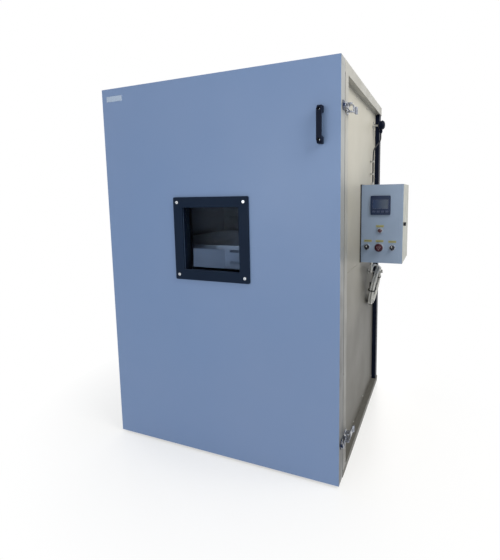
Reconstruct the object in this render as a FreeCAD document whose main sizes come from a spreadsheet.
import FreeCAD, Part
import math
import os
import re
import Sketcher
from FreeCAD import Placement, Rotation, Vector

# Drying oven: insulated cabinet, full-front door on the left edge's hinges, control box on the right side wall.
# X runs to the right seen from the front, Y to the rear, Z up. The origin is the centre of the base's underside.

SIZES = [
    # Cabinet shell
    ("side_wall", 120.0),
    ("back_wall", 80.0),
    ("roof_wall", 110.0),
    ("base_height", 30.0),
    ("base_sheet", 2.5),
    ("roof_fascia", 45.0),
    ("roof_sheet", 2.0),
    ("roof_corner", 3.0),
    ("side_inset", 28.0),
    ("post_depth", 56.0),
    ("post_wall", 2.5),
    ("panel_sheet", 1.5),
    ("panel_flange", 30.0),
    ("frame_sheet", 2.0),
    # Chamber
    ("chamber_width", 900.0),
    ("chamber_height", 1500.0),
    ("chamber_floor", 110.0),
    ("chamber_depth", 950.0),
    ("liner_sheet", 1.5),
    ("plenum_depth", 80.0),
    ("baffle_sheet", 1.5),
    ("inlet_radius", 80.0),
    ("louvre_slot", 14.0),
    ("louvre_reach", 12.0),
    ("louvre_first", 200.0),
    ("louvre_pitch", 78.0),
    ("louvre_rows", 18),
    # Shelves
    ("shelf_edge", 20.0),
    ("shelf_sheet", 1.5),
    ("shelf_depth", 760.0),
    ("shelf_front", 440.0),
    ("shelf_side_gap", 4.0),
    ("shelf_first", 560.0),
    ("shelf_pitch", 400.0),
    ("slot_width", 8.0),
    ("slot_bridge", 24.0),
    ("slot_side", 66.0),
    ("slot_first", 40.0),
    ("slot_pitch", 40.0),
    ("slot_rows", 18),
    ("runner_leg", 20.0),
    ("runner_sheet", 2.0),
    # Fan, heaters and exhaust
    ("fan_radius", 130.0),
    ("fan_height", 860.0),
    ("fan_sheet", 2.0),
    ("fan_running_gap", 10.0),
    ("bracket_corner", 10.0),
    ("blade_width", 40.0),
    ("blade_inner", 78.0),
    ("blade_skew", 26.0),
    ("blade_count", 12),
    ("hub_radius", 22.0),
    ("shaft_radius", 7.0),
    ("running_fit", 0.08),
    ("sleeve_radius", 20.0),
    ("sleeve_wall", 2.0),
    ("bracket_size", 170.0),
    ("bracket_sheet", 5.0),
    ("spacer_length", 24.0),
    ("spacer_radius", 8.0),
    ("motor_radius", 62.0),
    ("motor_length", 130.0),
    ("motor_flange", 10.0),
    ("fin_depth", 6.0),
    ("fin_width", 4.0),
    ("fin_count", 18),
    ("heater_radius", 5.0),
    ("heater_span", 60.0),
    ("heater_length", 1060.0),
    ("heater_foot", 330.0),
    ("heater_edge", 150.0),
    ("heater_bracket", 30.0),
    ("exhaust_radius", 51.5),
    ("exhaust_wall", 3.0),
    ("spigot_step", 2.0),
    ("spigot_length", 58.0),
    ("exhaust_rise", 110.0),
    ("exhaust_flange", 75.0),
    ("exhaust_back", 200.0),
    ("damper_rise", 45.0),
    ("damper_gap", 2.0),
    ("damper_sheet", 2.0),
    ("spindle_radius", 4.0),
    ("damper_lever", 40.0),
    ("damper_offset", 16.0),
    ("damper_stub", 2.0),
    ("damper_arm", 6.0),
    ("damper_grip", 18.0),
    # Door
    ("door_bottom", 10.0),
    ("door_thickness", 70.0),
    ("door_gap", 6.0),
    ("door_sheet", 1.5),
    ("gasket_corner", 25.0),
    ("gasket_turn", 12.0),
    ("window_corner", 6.0),
    ("edge_flange", 30.0),
    ("window_opening", 280.0),
    ("window_height", 1025.0),
    ("bezel_border", 46.0),
    ("bezel_depth", 8.0),
    ("inner_bezel_depth", 3.0),
    ("pane_thickness", 4.0),
    ("pane_lap", 10.0),
    ("tunnel_sheet", 1.0),
    ("gasket_width", 15.0),
    ("gasket_inset", 25.0),
    ("seat_gap", 0.3),
    ("handle_inset", 75.0),
    ("handle_height", 1472.0),
    ("handle_length", 140.0),
    ("handle_width", 20.0),
    ("handle_reach", 38.0),
    ("handle_grip", 13.0),
    ("handle_foot", 26.0),
    ("handle_screw", 3.2),
    ("handle_slope", 4.0),
    ("screw_offset", 1.0),
    ("handle_corner", 2.5),
    # Door hinges
    ("hinge_out", 14.0),
    ("hinge_leaf", 4.0),
    ("hinge_width", 48.0),
    ("hinge_length", 90.0),
    ("knuckle_radius", 9.0),
    ("hinge_pin", 5.0),
    ("hinge_first", 250.0),
    ("hinge_pitch", 610.0),
    ("leaf_step", 2.0),
    # Draw latches
    ("latch_low", 175.0),
    ("latch_high", 1545.0),
    ("latch_sheet", 2.5),
    ("latch_base_depth", 50.0),
    ("latch_base_height", 46.0),
    ("latch_rise", 15.0),
    ("latch_setback", 23.0),
    ("ear_inner", 16.0),
    ("ear_radius", 8.0),
    ("lever_outer", 15.0),
    ("lever_pin", 3.0),
    ("lever_reach", 70.0),
    ("bail_inward", 7.0),
    ("bail_setback", 18.0),
    ("bail_wire", 2.0),
    ("bail_half", 8.0),
    ("bail_length", 94.0),
    ("bail_bend", 4.0),
    ("catch_depth", 34.0),
    ("catch_height", 36.0),
    ("catch_rise", 10.0),
    ("catch_lip", 5.5),
    ("catch_inset", 9.0),
    ("catch_gap", 0.5),
    ("catch_play", 1.0),
    ("latch_step", 3.0),
    ("latch_corner", 4.0),
    ("lip_corner", 1.5),
    ("arm_half", 6.0),
    ("arm_edge", 7.5),
    ("arm_shoulder", 2.0),
    ("arm_end", 16.0),
    ("arm_notch", 3.0),
    ("arm_nose", 5.0),
    ("arm_nose_end", 7.0),
    ("lever_thick", 2.5),
    ("lever_flare", 6.5),
    ("lever_lip", 8.0),
    # Control box
    ("box_width", 208.0),
    ("box_length", 310.0),
    ("box_height", 395.0),
    ("box_front", -8.0),
    ("box_bottom", 860.0),
    ("box_sheet", 1.5),
    ("box_corner", 2.0),
    ("box_lip", 12.0),
    ("box_door_depth", 15.7),
    ("box_barrel", 5.0),
    ("box_barrel_out", 6.0),
    ("box_barrel_length", 24.0),
    ("box_pin", 2.5),
    ("box_hinge_leaf", 2.0),
    ("box_hinge_width", 18.0),
    ("box_hinge_low", 90.0),
    ("box_hinge_high", 305.0),
    ("plate_margin", 20.0),
    ("plate_standoff", 6.0),
    ("plate_sheet", 2.0),
    ("rail_height", 35.0),
    ("rail_rise", 7.5),
    ("rail_low", 90.0),
    ("rail_high", 230.0),
    ("rail_inset", 75.0),
    ("rail_groove", 25.0),
    ("device_gap", 10.0),
    ("relay_width", 70.0),
    ("relay_depth", 71.0),
    ("relay_height", 70.0),
    ("contactor_width", 55.0),
    ("contactor_depth", 62.0),
    ("contactor_height", 85.0),
    ("breaker_width", 50.0),
    ("breaker_depth", 66.0),
    ("breaker_height", 80.0),
    ("terminal_width", 50.0),
    ("terminal_depth", 45.0),
    ("terminal_height", 50.0),
    ("lock_radius", 9.0),
    ("lock_rise", 12.0),
    ("lock_stem", 5.0),
    ("lock_setback", 26.0),
    ("cam_length", 24.0),
    # Panel controls, measured from the panel's lower corner beside the cabinet
    ("meter_across", 99.5),
    ("meter_up", 292.0),
    ("meter_size", 96.0),
    ("meter_bezel", 8.0),
    ("meter_case", 90.0),
    ("meter_depth", 65.0),
    ("meter_corner", 4.0),
    ("screen_width", 72.0),
    ("screen_height", 42.0),
    ("screen_up", 5.5),
    ("screen_sheet", 1.5),
    ("key_width", 13.0),
    ("key_height", 8.0),
    ("key_down", 31.0),
    ("key_pitch", 21.0),
    ("key_travel", 0.8),
    ("key_depth", 5.0),
    ("key_corner", 2.0),
    ("lamp_across", 98.4),
    ("lamp_up", 165.0),
    ("lamp_radius", 10.0),
    ("switch_up", 80.0),
    ("switch_left", 35.0),
    ("switch_middle", 96.0),
    ("switch_right", 158.5),
    ("cutout_radius", 11.0),
    ("bezel_radius", 14.5),
    ("bezel_rise", 4.0),
    ("switch_block", 40.0),
    ("knob_radius", 12.0),
    ("knob_rise", 5.0),
    ("knob_grip", 13.0),
    ("knob_grip_width", 8.0),
    ("stem_radius", 5.0),
    ("stem_depth", 16.0),
    ("stop_radius", 20.0),
    ("stop_rise", 15.0),
    ("stop_travel", 6.0),
    ("stop_stem", 8.0),
    ("stop_peg", 3.0),
    ("peg_length", 6.0),
    ("peg_gap", 0.2),
    ("stop_height", 12.0),
    ("stop_flat", 8.0),
    ("stop_shoulder", 3.0),
    ("stop_edge", 5.0),
    ("grip_corner", 2.5),
    ("lens_rise", 3.0),
    # Sensor, cables and duct
    ("sensor_inset", 66.0),
    ("sensor_height", 1600.0),
    ("sensor_flange", 22.0),
    ("sensor_neck", 30.0),
    ("sensor_tube", 6.0),
    ("probe_radius", 4.0),
    ("probe_reach", 60.0),
    ("head_radius", 25.0),
    ("head_length", 36.0),
    ("gland_radius", 9.0),
    ("gland_length", 20.0),
    ("sensor_cable", 3.5),
    ("duct_width", 22.0),
    ("duct_depth", 60.0),
    ("duct_wall", 2.0),
    ("power_cable", 5.0),
    ("power_across", 50.0),
    ("power_back", 58.0),
    ("hank_out", 37.0),
    ("hank_back", 262.0),
    ("hank_height", 686.0),
    ("hank_radius", 100.0),
    ("hank_thickness", 18.0),
    ("hank_tilt", 10.0),
    ("hook_radius", 4.0),
    ("hook_reach", 82.0),
    ("hook_lip", 16.0),
    ("clip_first", 60.0),
    ("clip_second", 130.0),
    ("clip_size", 10.0),
    ("clip_corner", 3.0),
    ("plug_radius", 19.0),
    ("plug_length", 40.0),
    ("plug_grip", 28.0),
    ("plug_drop", 15.0),
    ("plug_across", 38.0),
    ("plug_forward", 58.0),
    ("pin_radius", 2.4),
    ("pin_length", 19.0),
    ("pin_pitch", 19.0),
]

# Sizes that follow from others: the cabinet wraps the chamber, and what hangs on a wall keeps to it
FOLLOWING = [
    ("cabinet_width", "chamber_width + 2 * side_wall"),
    ("cabinet_depth", "chamber_depth + back_wall"),
    ("cabinet_height", "chamber_floor + chamber_height + roof_wall"),
    ("handle_side", "chamber_width / 2 + side_wall - handle_inset"),
    ("louvre_width", "chamber_width * 0.2556"),
    ("louvre_centre", "chamber_width * 0.3222"),
    ("slot_length", "(chamber_width - 2 * slot_bridge - 2 * slot_side) / 3"),
    ("heater_side", "chamber_width / 2 - heater_edge"),
    ("sensor_back", "chamber_depth / 2 - back_wall / 2 + frame_sheet - sensor_inset"),
]

doc = FreeCAD.newDocument("drying_oven")
sheet = doc.addObject("Spreadsheet::Sheet", "dims")
NAMES = set()
for row, (alias, value) in enumerate(SIZES + FOLLOWING, start=1):
    sheet.set("A%d" % row, alias)
    sheet.set("B%d" % row, "=" + value if isinstance(value, str) else str(value))
    sheet.setAlias("B%d" % row, alias)
    NAMES.add(alias)
doc.recompute()

NODES = []


def formula(text):
    return re.sub(r"[a-z][a-z_]+", lambda word: "dims." * (word.group() in NAMES) + word.group(), text)


def bind(item, name, text):
    item.setExpression(name, formula(text))


def place(item, x, y, z):
    bind(item, "Placement.Base.x", x)
    bind(item, "Placement.Base.y", y)
    bind(item, "Placement.Base.z", z)


def size(alias):
    return float(sheet.get(alias))


def block(low, high):
    item = doc.addObject("Part::Box", "block")
    for name, start, end in zip(("Length", "Width", "Height"), low, high):
        bind(item, name, "(%s) - (%s)" % (end, start))
    place(item, *low)
    return item


AXES = {
    "X": Rotation(Vector(0, 1, 0), 90),
    "Y": Rotation(Vector(1, 0, 0), -90),
    "Z": Rotation(),
}


def rod(radius, length, start, axis="Z"):
    item = doc.addObject("Part::Cylinder", "rod")
    item.Placement = Placement(Vector(), AXES[axis])
    bind(item, "Radius", radius)
    bind(item, "Height", length)
    place(item, *start)
    return item


def taper(radius, end_radius, length, start, axis="Z"):
    item = doc.addObject("Part::Cone", "taper")
    item.Placement = Placement(Vector(), AXES[axis])
    bind(item, "Radius1", radius)
    bind(item, "Radius2", end_radius)
    bind(item, "Height", length)
    place(item, *start)
    return item


def join(pieces):
    item = doc.addObject("Part::MultiFuse", "join")
    item.Shapes = pieces
    item.Refine = True
    return item


def carve(base, tools):
    item = doc.addObject("Part::Cut", "carve")
    item.Base = base
    item.Tool = tools[0] if len(tools) == 1 else join(tools)
    return item


def bundle(pieces):
    item = doc.addObject("Part::Compound", "bundle")
    item.Links = pieces
    return item


def round_edges(base, radius, chosen):
    doc.recompute()
    item = doc.addObject("Part::Fillet", "rounded")
    item.Base = base
    found = [index for index, edge in enumerate(base.Shape.Edges, start=1) if chosen(edge)]
    item.Edges = [(index, size(radius), size(radius)) for index in found]
    return item


def along(axis):
    direction = {"X": Vector(1, 0, 0), "Y": Vector(0, 1, 0), "Z": Vector(0, 0, 1)}[axis]

    def chosen(edge):
        if not isinstance(edge.Curve, Part.Line):
            return False
        return abs(edge.Curve.Direction.dot(direction)) > 0.999
    return chosen


def node(item, label):
    item.Label = label
    NODES.append(item)
    return item


def new_body(name):
    return doc.addObject("PartDesign::Body", name)


def sketch_on(body, role, offset="0"):
    sketch = body.newObject("Sketcher::SketchObject", "sketch")
    plane = [item for item in body.Origin.OriginFeatures if item.Role == role][0]
    sketch.AttachmentSupport = [(plane, "")]
    sketch.MapMode = "FlatFace"
    bind(sketch, "AttachmentOffset.Base.z", offset)
    return sketch


def fix_point(sketch, geometry, corner, x, y):
    for kind, text in (("DistanceX", x), ("DistanceY", y)):
        index = sketch.addConstraint(Sketcher.Constraint(kind, -1, 1, geometry, corner, 1.0))
        sketch.setExpression("Constraints[%d]" % index, formula(text))


def outline(sketch, corners):
    count = len(corners)
    first = sketch.GeometryCount
    for step in range(count):
        turn = 2 * math.pi * step / count
        after = 2 * math.pi * (step + 1) / count
        start = Vector(math.cos(turn), math.sin(turn), 0)
        end = Vector(math.cos(after), math.sin(after), 0)
        sketch.addGeometry(Part.LineSegment(start, end), False)
    for step in range(count):
        following = first + (step + 1) % count
        sketch.addConstraint(Sketcher.Constraint("Coincident", first + step, 2, following, 1))
    for step, (x, y) in enumerate(corners):
        fix_point(sketch, first + step, 1, x, y)


def ring(sketch, radius, x="0", y="0"):
    index = sketch.addGeometry(Part.Circle(Vector(), Vector(0, 0, 1), 5.0), False)
    fix_point(sketch, index, 3, x, y)
    limit = sketch.addConstraint(Sketcher.Constraint("Radius", index, 5.0))
    sketch.setExpression("Constraints[%d]" % limit, formula(radius))


def extrude(body, kind, sketch, length, reverse=False, middle=False):
    item = body.newObject("PartDesign::" + kind, kind.lower())
    item.Profile = sketch
    bind(item, "Length", length)
    item.Reversed = reverse
    item.Midplane = middle
    return item


def repeat_line(body, features, role, pitch, count):
    item = body.newObject("PartDesign::LinearPattern", "row")
    item.Originals = features
    axis = [part for part in body.Origin.OriginFeatures if part.Role == role][0]
    item.Direction = (axis, [""])
    item.Mode = "Spacing"
    bind(item, "Offset", pitch)
    bind(item, "Occurrences", count)
    body.Tip = item
    return item


# Places that several pieces share, written as formulas of the driving sizes
HALF_W = "cabinet_width / 2"
HALF_D = "cabinet_depth / 2"
WALL = "(cabinet_width / 2 - side_inset)"
ROOF_LOW = "(cabinet_height - roof_fascia)"
INSIDE = "chamber_width / 2"
LINER = "(chamber_width / 2 + liner_sheet)"
CEILING = "(chamber_floor + chamber_height)"
FRONT = "(0 - cabinet_depth / 2)"
LINER_FRONT = "(0 - cabinet_depth / 2 + frame_sheet)"
LINER_BACK = "(0 - cabinet_depth / 2 + frame_sheet + chamber_depth)"
REAR = "(cabinet_depth / 2 - panel_sheet)"
BAFFLE = "(0 - cabinet_depth / 2 + frame_sheet + chamber_depth - plenum_depth)"
DOOR_BACK = "(0 - cabinet_depth / 2 - door_gap)"
DOOR_FRONT = "(0 - cabinet_depth / 2 - door_gap - door_thickness)"
BOX_OUT = "(cabinet_width / 2 - side_inset + box_width)"
BOX_MOUTH = "(cabinet_width / 2 - side_inset + box_width - box_door_depth - seat_gap)"
BOX_BACK = "(box_front + box_length)"
BOX_TOP = "(box_bottom + box_height)"


def minus(text):
    return "0 - (%s)" % text


def base_frame():
    outer = block((minus(HALF_W), FRONT, "0"), (HALF_W, HALF_D, "base_height"))
    hollow = block(
        ("base_sheet - cabinet_width / 2", "base_sheet - cabinet_depth / 2", "base_sheet"),
        ("cabinet_width / 2 - base_sheet", "cabinet_depth / 2 - base_sheet", "base_height - base_sheet"),
    )
    mouth = block(
        (minus(WALL), "side_inset - cabinet_depth / 2", "base_height / 2"),
        (WALL, "cabinet_depth / 2 - panel_sheet", "base_height + 1"),
    )
    node(carve(outer, [hollow, mouth]), "base_frame")


def roof_cover():
    outer = block((minus(HALF_W), FRONT, ROOF_LOW), (HALF_W, HALF_D, "cabinet_height"))
    hollow = block(
        ("roof_sheet - cabinet_width / 2", "roof_sheet - cabinet_depth / 2", ROOF_LOW + " + roof_sheet"),
        ("cabinet_width / 2 - roof_sheet", "cabinet_depth / 2 - roof_sheet", "cabinet_height - roof_sheet"),
    )
    mouth = block(
        (minus(WALL), "side_inset - cabinet_depth / 2", ROOF_LOW + " - 1"),
        (WALL, "cabinet_depth / 2 - panel_sheet", ROOF_LOW + " + roof_sheet + 1"),
    )
    hole = rod("exhaust_radius + seat_gap", "roof_fascia", ("0", "exhaust_back", ROOF_LOW))
    shell = carve(outer, [hollow, mouth, hole])
    node(round_edges(shell, "roof_corner", upright_corner), "roof_cover")


def upright_corner(edge):
    ends = [vertex.Point for vertex in edge.Vertexes]
    if len(ends) < 2 or abs(ends[0].x - ends[1].x) + abs(ends[0].y - ends[1].y) > 0.01:
        return False
    at_side = abs(abs(ends[0].x) - size("cabinet_width") / 2) < 0.01
    at_end = abs(abs(ends[0].y) - size("cabinet_depth") / 2) < 0.01
    return at_side and at_end


def corner_posts():
    posts = []
    for low, high in ((WALL, HALF_W), (minus(HALF_W), minus(WALL))):
        outer = block((low, FRONT, "base_height"), (high, FRONT + " + post_depth", ROOF_LOW))
        hollow = block(
            (low + " + post_wall", FRONT + " + post_wall", "base_height - 1"),
            (high + " - post_wall", FRONT + " + post_depth - post_wall", ROOF_LOW + " + 1"),
        )
        posts.append(carve(outer, [hollow]))
    node(bundle(posts), "corner_posts")


def side_panels():
    panels = []
    for side in (1, -1):
        face = side_block(side, WALL + " - panel_sheet", WALL, LINER_FRONT, HALF_D, "base_height", ROOF_LOW)
        flange = side_block(side, WALL + " - panel_flange", WALL, REAR + " - panel_sheet", REAR,
                            "base_height", ROOF_LOW)
        panel = join([face, flange])
        if side > 0:
            probe = rod("probe_radius + seat_gap", "4 * panel_sheet",
                        (WALL + " - 2 * panel_sheet", "sensor_back", "sensor_height"), "X")
            panel = carve(panel, [probe])
        panels.append(panel)
    node(bundle(panels), "side_panels")


def side_block(side, inner, outer, front, back, low, high):
    if side > 0:
        return block((inner, front, low), (outer, back, high))
    return block((minus(outer), front, low), (minus(inner), back, high))


def rear_panel():
    sheet_metal = block((minus(WALL + " - panel_sheet"), REAR, "base_height"),
                        (WALL + " - panel_sheet", HALF_D, ROOF_LOW))
    hole = rod("sleeve_radius", "4 * panel_sheet", ("0", REAR + " - panel_sheet", "fan_height"), "Y")
    node(carve(sheet_metal, [hole]), "rear_panel")


def front_frame():
    half = WALL
    strips = [
        block((minus(half), FRONT, "base_height"), (half, LINER_FRONT, "chamber_floor")),
        block((minus(half), FRONT, CEILING), (half, LINER_FRONT, ROOF_LOW)),
        block((minus(half), FRONT, "chamber_floor"), (minus(INSIDE), LINER_FRONT, CEILING)),
        block((INSIDE, FRONT, "chamber_floor"), (half, LINER_FRONT, CEILING)),
    ]
    node(bundle(strips), "front_frame")


def chamber_liner():
    left = block((minus(LINER), LINER_FRONT, "chamber_floor"), (minus(INSIDE), LINER_BACK, CEILING))
    right = block((INSIDE, LINER_FRONT, "chamber_floor"), (LINER, LINER_BACK, CEILING))
    probe = rod("probe_radius + seat_gap", "6 * liner_sheet",
                (INSIDE + " - 2 * liner_sheet", "sensor_back", "sensor_height"), "X")
    floor = block((minus(LINER), LINER_FRONT, "chamber_floor - liner_sheet"), (LINER, LINER_BACK, "chamber_floor"))
    top = block((minus(LINER), LINER_FRONT, CEILING), (LINER, LINER_BACK, CEILING + " + liner_sheet"))
    vent = rod("exhaust_radius + seat_gap", "6 * liner_sheet", ("0", "exhaust_back", CEILING + " - 2 * liner_sheet"))
    back = block((minus(LINER), LINER_BACK, "chamber_floor - liner_sheet"),
                 (LINER, LINER_BACK + " + liner_sheet", CEILING + " + liner_sheet"))
    shaft = rod("sleeve_radius - sleeve_wall", "6 * liner_sheet", ("0", LINER_BACK + " - 2 * liner_sheet", "fan_height"),
                "Y")
    node(bundle([left, carve(right, [probe]), floor, carve(top, [vent]), carve(back, [shaft])]), "chamber_liner")


def insulation():
    outer = WALL + " - panel_sheet"
    back = REAR + " - panel_sheet"
    floor = block((minus(outer), LINER_FRONT, "base_sheet"), (outer, back, "chamber_floor - liner_sheet"))
    floor_notch = block((minus(outer), FRONT, "0"), (outer, "side_inset - cabinet_depth / 2", "base_height"))
    top = block((minus(outer), LINER_FRONT, CEILING + " + liner_sheet"), (outer, back, "cabinet_height - roof_sheet"))
    top_notch = block((minus(outer), FRONT, ROOF_LOW), (outer, "side_inset - cabinet_depth / 2", "cabinet_height"))
    vent = rod("exhaust_radius + seat_gap", "cabinet_height", ("0", "exhaust_back", "chamber_height"))
    slabs = [carve(floor, [floor_notch]), carve(top, [top_notch, vent])]
    for side in (1, -1):
        slab = side_block(side, LINER, outer, LINER_FRONT, back, "chamber_floor - liner_sheet",
                          CEILING + " + liner_sheet")
        if side > 0:
            probe = rod("probe_radius + seat_gap", "cabinet_width", ("0", "sensor_back", "sensor_height"), "X")
            slab = carve(slab, [probe])
        slabs.append(slab)
    rear = block((minus(LINER), LINER_BACK + " + liner_sheet", "chamber_floor - liner_sheet"),
                 (LINER, back, CEILING + " + liner_sheet"))
    sleeve = rod("sleeve_radius + seat_gap", "cabinet_depth", ("0", "0", "fan_height"), "Y")
    slabs.append(carve(rear, [sleeve]))
    node(bundle(slabs), "insulation")


def shelf_level(index):
    return "(shelf_first + %d * shelf_pitch)" % index


def shelf_runners():
    angles = []
    for index in range(3):
        level = shelf_level(index)
        for side in (1, -1):
            start = "0 - shelf_front"
            end = "shelf_depth - shelf_front"
            upright = side_block(side, INSIDE + " - runner_sheet", INSIDE, start, end,
                                 level + " - runner_sheet - runner_leg", level + " - runner_sheet")
            ledge = side_block(side, INSIDE + " - runner_leg", INSIDE, start, end,
                               level + " - runner_sheet", level)
            angles.append(join([upright, ledge]))
    node(bundle(angles), "shelf_runners")


def shelf(label, index):
    body = new_body(label)
    level = shelf_level(index)
    half = "(chamber_width / 2 - shelf_side_gap)"
    plate = sketch_on(body, "XY_Plane", level)
    start = "0 - shelf_front"
    end = "shelf_depth - shelf_front"
    outline(plate, ((minus(half), start), (half, start), (half, end), (minus(half), end)))
    extrude(body, "Pad", plate, "shelf_edge")
    recess = sketch_on(body, "XY_Plane", level)
    inner = half + " - shelf_sheet"
    outline(recess, ((minus(inner), start + " + shelf_sheet"), (inner, start + " + shelf_sheet"),
                     (inner, end + " - shelf_sheet"), (minus(inner), end + " - shelf_sheet")))
    extrude(body, "Pocket", recess, "shelf_edge - shelf_sheet", True)
    doc.recompute()
    slots = sketch_on(body, "XY_Plane", level + " + shelf_edge")
    for column in (-1, 0, 1):
        middle = "(%d * (slot_length + slot_bridge))" % column
        low = start + " + slot_first"
        outline(slots, ((middle + " - slot_length / 2", low), (middle + " + slot_length / 2", low),
                        (middle + " + slot_length / 2", low + " + slot_width"),
                        (middle + " - slot_length / 2", low + " + slot_width")))
    slot = extrude(body, "Pocket", slots, "shelf_sheet + 1")
    repeat_line(body, [slot], "Y_Axis", "slot_pitch", "slot_rows")
    node(body, label)


def air_baffle():
    body = new_body("air_baffle")
    plate = sketch_on(body, "XZ_Plane", minus(BAFFLE))
    outline(plate, ((minus(INSIDE), "chamber_floor"), (INSIDE, "chamber_floor"), (INSIDE, CEILING),
                    (minus(INSIDE), CEILING)))
    ring(plate, "inlet_radius", "0", "fan_height")
    extrude(body, "Pad", plate, "baffle_sheet")
    doc.recompute()
    features = []
    slot = sketch_on(body, "XZ_Plane", minus(BAFFLE) + " + baffle_sheet")
    for side in (-1, 1):
        middle = "(%d * louvre_centre)" % side
        outline(slot, ((middle + " - louvre_width / 2", "louvre_first"),
                       (middle + " + louvre_width / 2", "louvre_first"),
                       (middle + " + louvre_width / 2", "louvre_first + louvre_slot"),
                       (middle + " - louvre_width / 2", "louvre_first + louvre_slot")))
    features.append(extrude(body, "Pocket", slot, "3 * baffle_sheet", False, True))
    for side in (-1, 1):
        hood = sketch_on(body, "YZ_Plane", "%d * louvre_centre" % side)
        face = BAFFLE + " - baffle_sheet"
        top = "louvre_first + louvre_slot"
        outline(hood, ((face, top + " + 2 * baffle_sheet"), (face + " - louvre_reach", "louvre_first + baffle_sheet"),
                       (face + " - louvre_reach", "louvre_first"), (face, top)))
        features.append(extrude(body, "Pad", hood, "louvre_width", False, True))
    repeat_line(body, features, "Z_Axis", "louvre_pitch", "louvre_rows")
    node(body, "air_baffle")


FAN_BACK = "(0 - cabinet_depth / 2 + frame_sheet + chamber_depth - fan_running_gap)"
BRACKET_BACK = "(cabinet_depth / 2 + bracket_sheet)"
MOTOR_FACE = "(cabinet_depth / 2 + bracket_sheet + spacer_length)"


def fan_impeller():
    body = new_body("fan_impeller")
    disc = sketch_on(body, "XZ_Plane", minus(FAN_BACK))
    ring(disc, "fan_radius", "0", "fan_height")
    extrude(body, "Pad", disc, "fan_sheet")
    blade = sketch_on(body, "XZ_Plane", minus(FAN_BACK) + " + fan_sheet / 2")
    outline(blade, (("blade_inner", "fan_height + fan_sheet"), ("fan_radius - 6", "fan_height + blade_skew"),
                    ("fan_radius - 6", "fan_height + blade_skew + 1.2 * fan_sheet"),
                    ("blade_inner", "fan_height + 2.2 * fan_sheet")))
    blade_pad = extrude(body, "Pad", blade, "blade_width + fan_sheet")
    doc.recompute()
    around_fan(body, [blade_pad])
    rim = sketch_on(body, "XZ_Plane", minus(FAN_BACK) + " + fan_sheet + blade_width")
    ring(rim, "fan_radius", "0", "fan_height")
    ring(rim, "blade_inner + 8", "0", "fan_height")
    extrude(body, "Pad", rim, "fan_sheet")
    hub = sketch_on(body, "XZ_Plane", minus(FAN_BACK) + " + fan_sheet / 2")
    ring(hub, "hub_radius", "0", "fan_height")
    extrude(body, "Pad", hub, "blade_width / 2")
    shaft = sketch_on(body, "XZ_Plane", minus(MOTOR_FACE) + " - motor_length / 2")
    ring(shaft, "shaft_radius", "0", "fan_height")
    extrude(body, "Pad", shaft, MOTOR_FACE + " + motor_length / 2 - " + FAN_BACK + " + fan_sheet / 2")
    doc.recompute()
    node(body, "fan_impeller")


def around_fan(body, features):
    centre = sketch_on(body, "XZ_Plane", "0")
    bind(centre, "AttachmentOffset.Base.y", "fan_height")
    ring(centre, "shaft_radius")
    item = body.newObject("PartDesign::PolarPattern", "around")
    item.Originals = features
    item.Axis = (centre, ["N_Axis"])
    item.Refine = False
    bind(item, "Occurrences", "blade_count")
    body.Tip = item
    return item


def heater_elements():
    pieces = []
    depth = "(" + LINER_BACK + " - plenum_depth / 2)"
    for side in (-1, 1):
        for index in range(2):
            near = "(%d * (heater_side + %d * heater_span * 2 / 3))" % (side, index)
            legs = [rod("heater_radius", "heater_length", (near + " + %s * heater_span / 4" % end, depth,
                                                          "heater_foot")) for end in ("-1", "1")]
            bend = doc.addObject("Part::Torus", "bend")
            bend.Placement = Placement(Vector(), Rotation(Vector(1, 0, 0), 90))
            bend.Angle3 = 180
            bind(bend, "Radius1", "heater_span / 4")
            bind(bend, "Radius2", "heater_radius")
            place(bend, near, depth, "heater_foot + heater_length")
            pieces.append(join(legs + [bend]))
        centre = "(%d * (heater_side + heater_span / 3))" % side
        low = "heater_foot - baffle_sheet"
        shelf_part = block((centre + " - heater_span", depth + " - heater_bracket / 2", low),
                           (centre + " + heater_span", LINER_BACK, "heater_foot"))
        upright = block((centre + " - heater_span", LINER_BACK + " - baffle_sheet", low),
                        (centre + " + heater_span", LINER_BACK, "heater_foot + heater_bracket"))
        pieces.append(join([shelf_part, upright]))
    node(bundle(pieces), "heater_elements")


def fan_motor():
    half = "bracket_size / 2"
    plate = block((minus(half), HALF_D, "fan_height - bracket_size / 2"),
                  (half, BRACKET_BACK, "fan_height + bracket_size / 2"))
    shaft_hole = rod("shaft_radius + 3", "4 * bracket_sheet", ("0", HALF_D + " - bracket_sheet", "fan_height"), "Y")
    pieces = [carve(round_edges(plate, "bracket_corner", along("Y")), [shaft_hole])]
    for across in (-1, 1):
        for up in (-1, 1):
            spot = "%d * motor_radius * 0.6"
            pieces.append(rod("spacer_radius", "spacer_length",
                              (spot % across, BRACKET_BACK, "fan_height + " + spot % up), "Y"))
    sleeve = rod("sleeve_radius", REAR + " - " + LINER_BACK + " - liner_sheet - 0.2",
                 ("0", LINER_BACK + " + liner_sheet + 0.1", "fan_height"), "Y")
    bore = rod("sleeve_radius - sleeve_wall", "cabinet_depth", ("0", "0", "fan_height"), "Y")
    pieces.append(carve(sleeve, [bore]))
    pieces.append(motor())
    node(bundle(pieces), "fan_motor")


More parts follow.
